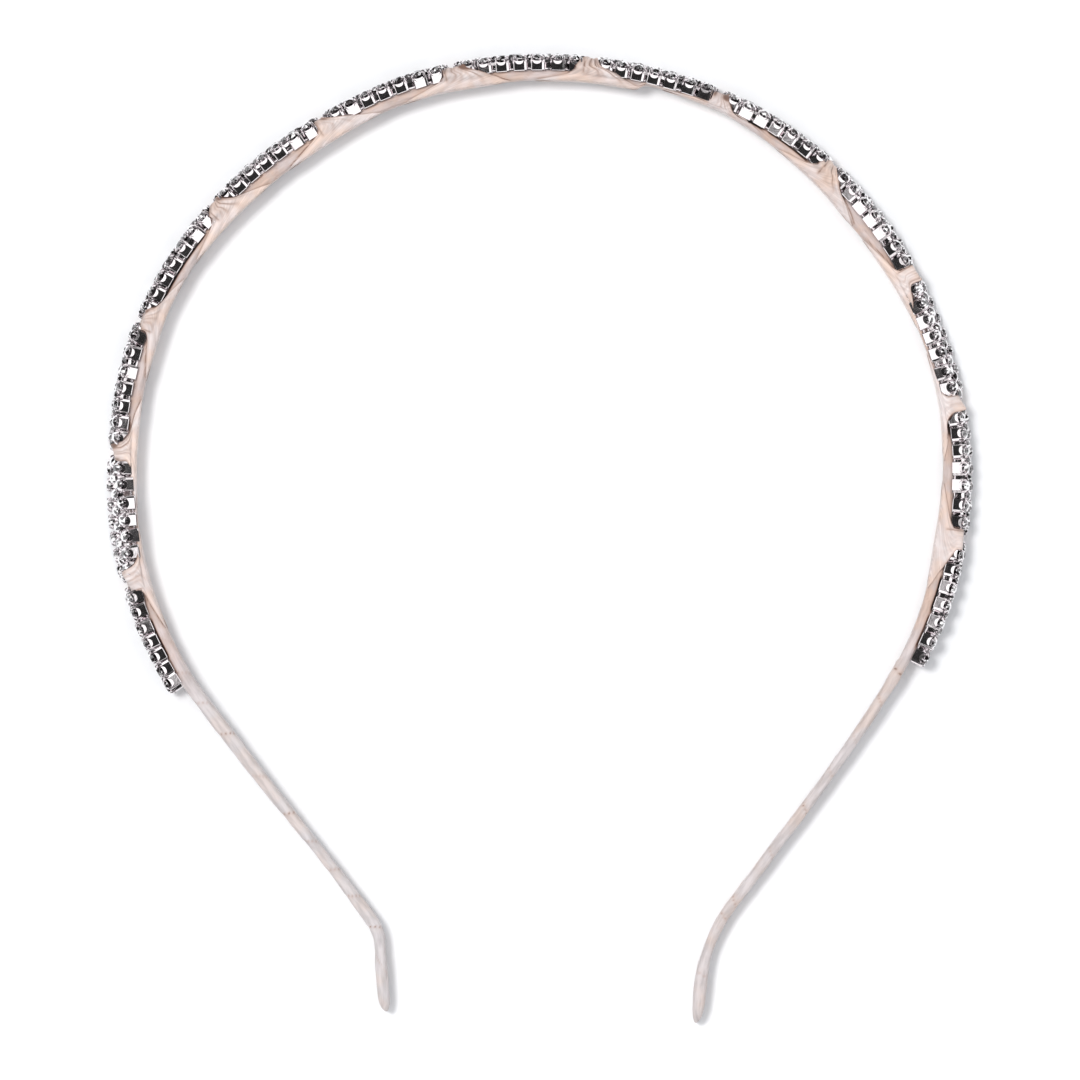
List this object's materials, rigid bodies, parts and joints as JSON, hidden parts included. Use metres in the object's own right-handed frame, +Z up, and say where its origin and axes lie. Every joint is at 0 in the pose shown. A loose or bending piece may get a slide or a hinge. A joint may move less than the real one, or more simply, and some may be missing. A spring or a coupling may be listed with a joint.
{
  "type": "crystal headband",
  "caption": "Slim satin-wrapped alice band with rows of small cup-set crystals bound over its crown in swells.",
  "frame": {"origin": "centre of the headband's box in plan, on the table that it lies on", "axes": "+Z up from the table, across the band's width; +Y from the tips to the crown; +X across the head"},
  "size_m": [0.1348, 0.1506, 0.0087],
  "materials": {
    "band_ribbon": "blush satin",
    "wrap_ribbon": "gathered blush satin",
    "crystal_setting": "bright plated cups with clear faceted crystals",
    "crystal": "clear cut crystal"
  },
  "bodies": {
    "root": {"wrapped_band": "band_ribbon", "near_crystal_row": "crystal_setting", "middle_crystal_row": "crystal_setting", "far_crystal_row": "crystal_setting", "ribbon_wrap_01": "wrap_ribbon", "ribbon_wrap_02": "wrap_ribbon", "ribbon_wrap_03": "wrap_ribbon", "ribbon_wrap_04": "wrap_ribbon", "ribbon_wrap_05": "wrap_ribbon", "ribbon_wrap_06": "wrap_ribbon", "ribbon_wrap_07": "wrap_ribbon", "ribbon_wrap_08": "wrap_ribbon", "ribbon_wrap_09": "wrap_ribbon", "ribbon_wrap_10": "wrap_ribbon", "ribbon_wrap_11": "wrap_ribbon", "ribbon_wrap_12": "wrap_ribbon"}
  },
  "joints": []
}
